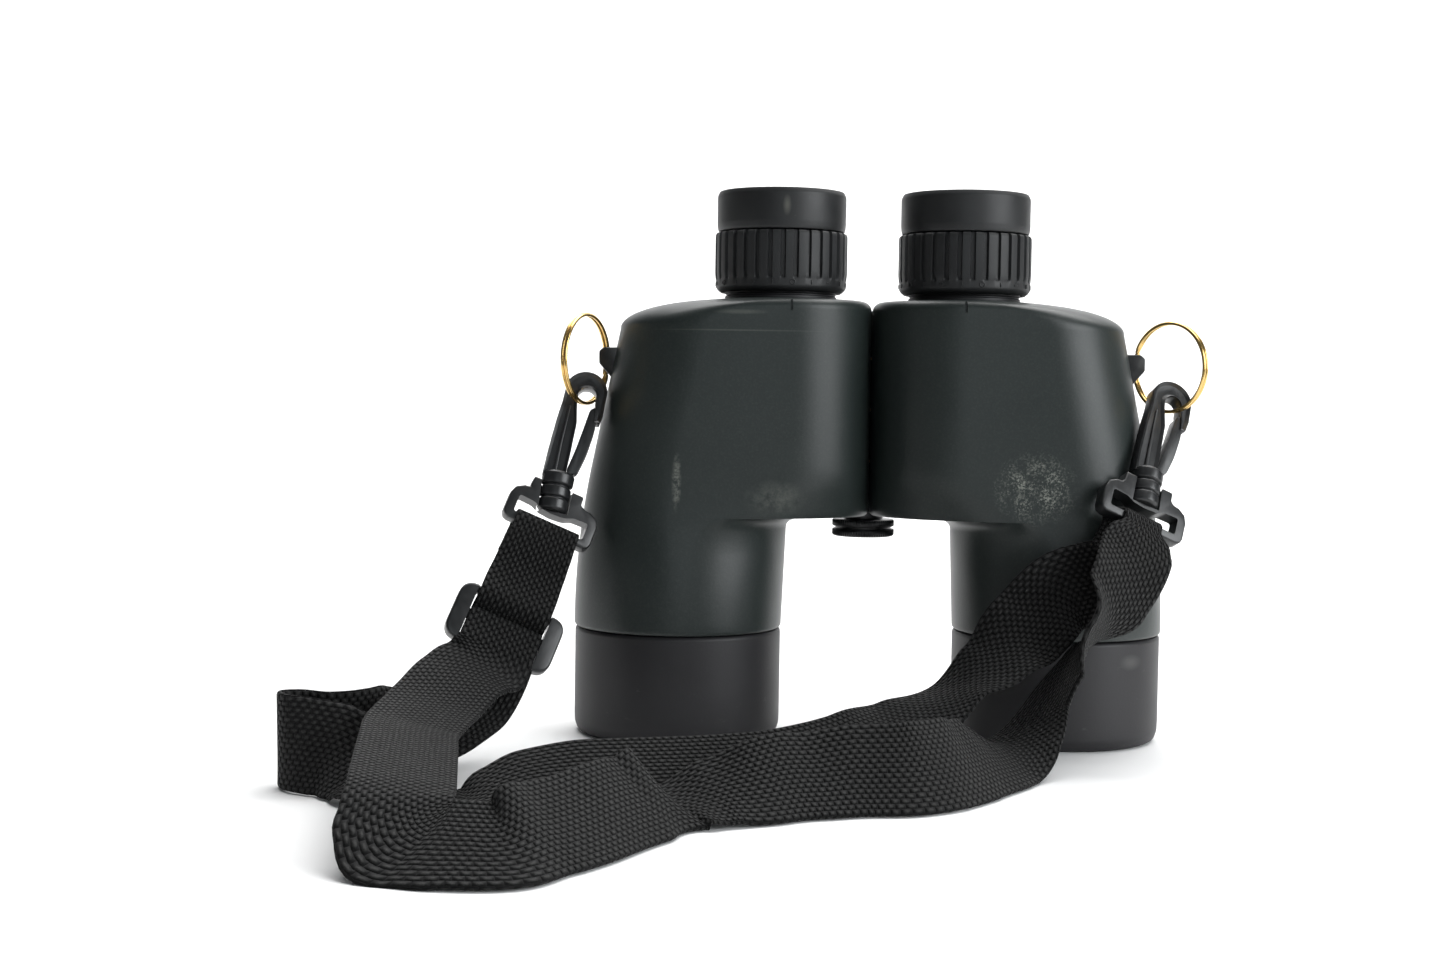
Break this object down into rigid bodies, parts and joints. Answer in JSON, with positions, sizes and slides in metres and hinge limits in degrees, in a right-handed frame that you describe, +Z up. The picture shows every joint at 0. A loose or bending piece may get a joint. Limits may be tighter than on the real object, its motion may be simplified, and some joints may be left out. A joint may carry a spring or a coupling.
{
  "type": "binoculars",
  "caption": "Porro prism binoculars with individual eyepiece focus, folding centre hinge, rubber objective hoods and webbing neck strap on swivel snap hooks.",
  "frame": {"origin": "on the surface the hoods stand on, midway between the two objective axes and on the line between them", "axes": "+X towards the right half, +Y from the side with the index marks towards the hinge side, +Z up towards the eyepieces"},
  "size_m": [0.2627, 0.2345, 0.168],
  "materials": {
    "housing_coat": "smooth satin coating, green black, scuffed",
    "hood_rubber": "matt rubber",
    "eyepiece_rubber": "ribbed matt rubber",
    "alloy": "black anodised",
    "black_alloy": "matt black anodised",
    "steel": "turned",
    "brass": "polished",
    "optical_glass": "coated optical glass",
    "seal_rubber": "smooth rubber",
    "fitting_plastic": "moulded acetal, satin",
    "webbing": "woven nylon"
  },
  "bodies": {
    "left_half": {"left_housing": "housing_coat", "left_objective_hood": "hood_rubber", "left_objective_cell": "black_alloy", "left_objective_gasket": "seal_rubber", "left_lens_retaining_ring": "black_alloy", "left_crown_lens": "optical_glass", "left_flint_lens": "optical_glass", "left_upper_prism": "optical_glass", "left_lower_prism": "optical_glass", "left_prism_shelf": "alloy", "left_ocular_guide": "black_alloy", "left_strap_lug": "fitting_plastic", "left_strap_frame": "fitting_plastic", "hinge_axle": "steel", "lower_hinge_washer": "brass", "middle_hinge_washer": "brass", "upper_hinge_washer": "brass", "tripod_socket": "brass", "strap_front_run": "webbing", "strap_return_run": "webbing"},
    "right_half": {"right_housing": "housing_coat", "right_objective_hood": "hood_rubber", "right_objective_cell": "black_alloy", "right_objective_gasket": "seal_rubber", "right_lens_retaining_ring": "black_alloy", "right_crown_lens": "optical_glass", "right_flint_lens": "optical_glass", "right_upper_prism": "optical_glass", "right_lower_prism": "optical_glass", "right_prism_shelf": "alloy", "right_ocular_guide": "black_alloy", "right_strap_lug": "fitting_plastic", "right_strap_frame": "fitting_plastic", "hinge_cap": "black_alloy", "strap_front_rise": "webbing", "strap_return_drop": "webbing"},
    "left_ocular": {"left_ocular_tube": "black_alloy", "left_field_lens": "optical_glass", "left_eye_lens": "optical_glass"},
    "left_focus": {"left_focus_ring": "eyepiece_rubber", "left_eyecup": "eyepiece_rubber"},
    "left_split_ring": {"left_split_ring": "brass"},
    "left_hook": {"left_snap_hook": "fitting_plastic"},
    "left_gate": {"left_hook_gate": "fitting_plastic"},
    "right_ocular": {"right_ocular_tube": "black_alloy", "right_field_lens": "optical_glass", "right_eye_lens": "optical_glass"},
    "right_focus": {"right_focus_ring": "eyepiece_rubber", "right_eyecup": "eyepiece_rubber"},
    "right_split_ring": {"right_split_ring": "brass"},
    "right_hook": {"right_snap_hook": "fitting_plastic"},
    "right_gate": {"right_hook_gate": "fitting_plastic"},
    "cap_seal": {"tripod_cap_seal": "seal_rubber"},
    "cap": {"tripod_cap": "fitting_plastic"},
    "slider": {"strap_slider": "fitting_plastic"}
  },
  "joints": [
    {"name": "interpupillary_hinge", "type": "hinge", "parent": "left_half", "child": "right_half", "pos_m": [0, 0.0223, 0.1], "axis": [0, 0, 1], "range_deg": [0, 46]},
    {"name": "left_ocular_slide", "type": "slide", "parent": "left_half", "child": "left_ocular", "axis": [0, 0, 1], "range_m": [-0.00168, 0.00251]},
    {"name": "left_focus_turn", "type": "hinge", "parent": "left_ocular", "child": "left_focus", "pos_m": [-0.0285, 0, 0.145], "axis": [0, 0, 1], "range_deg": [-120, 180]},
    {"name": "left_split_ring_turn", "type": "hinge", "parent": "left_half", "child": "left_split_ring", "pos_m": [-0.08791, -0.01224, 0.1155], "axis": [-0.9063, 0.4226, 0], "continuous": true},
    {"name": "left_hook_swivel", "type": "hinge", "parent": "left_half", "child": "left_hook", "pos_m": [-0.09702, -0.02491, 0.06804], "axis": [0.15, 0.3351, 0.9302], "range_deg": [-8, 3]},
    {"name": "left_gate_spring", "type": "hinge", "parent": "left_hook", "child": "left_gate", "pos_m": [-0.09181, -0.0201, 0.08031], "axis": [0.1136, -0.9404, 0.3204], "range_deg": [0, 9], "stiffness_Nm_per_rad": 0.05, "springref_deg": -8.59},
    {"name": "right_ocular_slide", "type": "slide", "parent": "right_half", "child": "right_ocular", "axis": [0, 0, 1], "range_m": [-0.00168, 0.00251]},
    {"name": "right_focus_turn", "type": "hinge", "parent": "right_ocular", "child": "right_focus", "pos_m": [0.0285, 0, 0.145], "axis": [0, 0, 1], "range_deg": [-120, 180]},
    {"name": "right_split_ring_turn", "type": "hinge", "parent": "right_half", "child": "right_split_ring", "pos_m": [0.09051, -0.01064, 0.1155], "axis": [0.788, 0.6157, 0], "continuous": true},
    {"name": "right_hook_swivel", "type": "hinge", "parent": "right_half", "child": "right_hook", "pos_m": [0.07861, -0.03046, 0.07263], "axis": [0.2299, 0.5198, 0.8227], "range_deg": [-8, 8]},
    {"name": "right_gate_spring", "type": "hinge", "parent": "right_hook", "child": "right_gate", "pos_m": [0.08476, -0.02286, 0.08289], "axis": [0.2899, -0.8436, 0.452], "range_deg": [0, 9], "stiffness_Nm_per_rad": 0.05, "springref_deg": -8.59},
    {"name": "cap_travel", "type": "slide", "parent": "left_half", "child": "cap_seal", "axis": [0, 0, -1], "range_m": [0, 0.00507]},
    {"name": "cap_turn", "type": "hinge", "parent": "cap_seal", "child": "cap", "pos_m": [0, 0.0223, 0.065], "axis": [0, 0, -1], "range_deg": [0, 1440]},
    {"name": "slider_travel", "type": "slide", "parent": "left_half", "child": "slider", "axis": [0.3203, 0.4443, 0.8367], "range_m": [0, 0.003]}
  ],
  "couplings": [
    {"joint": "left_focus_turn", "follows": "left_ocular_slide", "rad_per_m": 1250},
    {"joint": "right_focus_turn", "follows": "right_ocular_slide", "rad_per_m": 1250},
    {"joint": "cap_turn", "follows": "cap_travel", "rad_per_m": 4950}
  ]
}
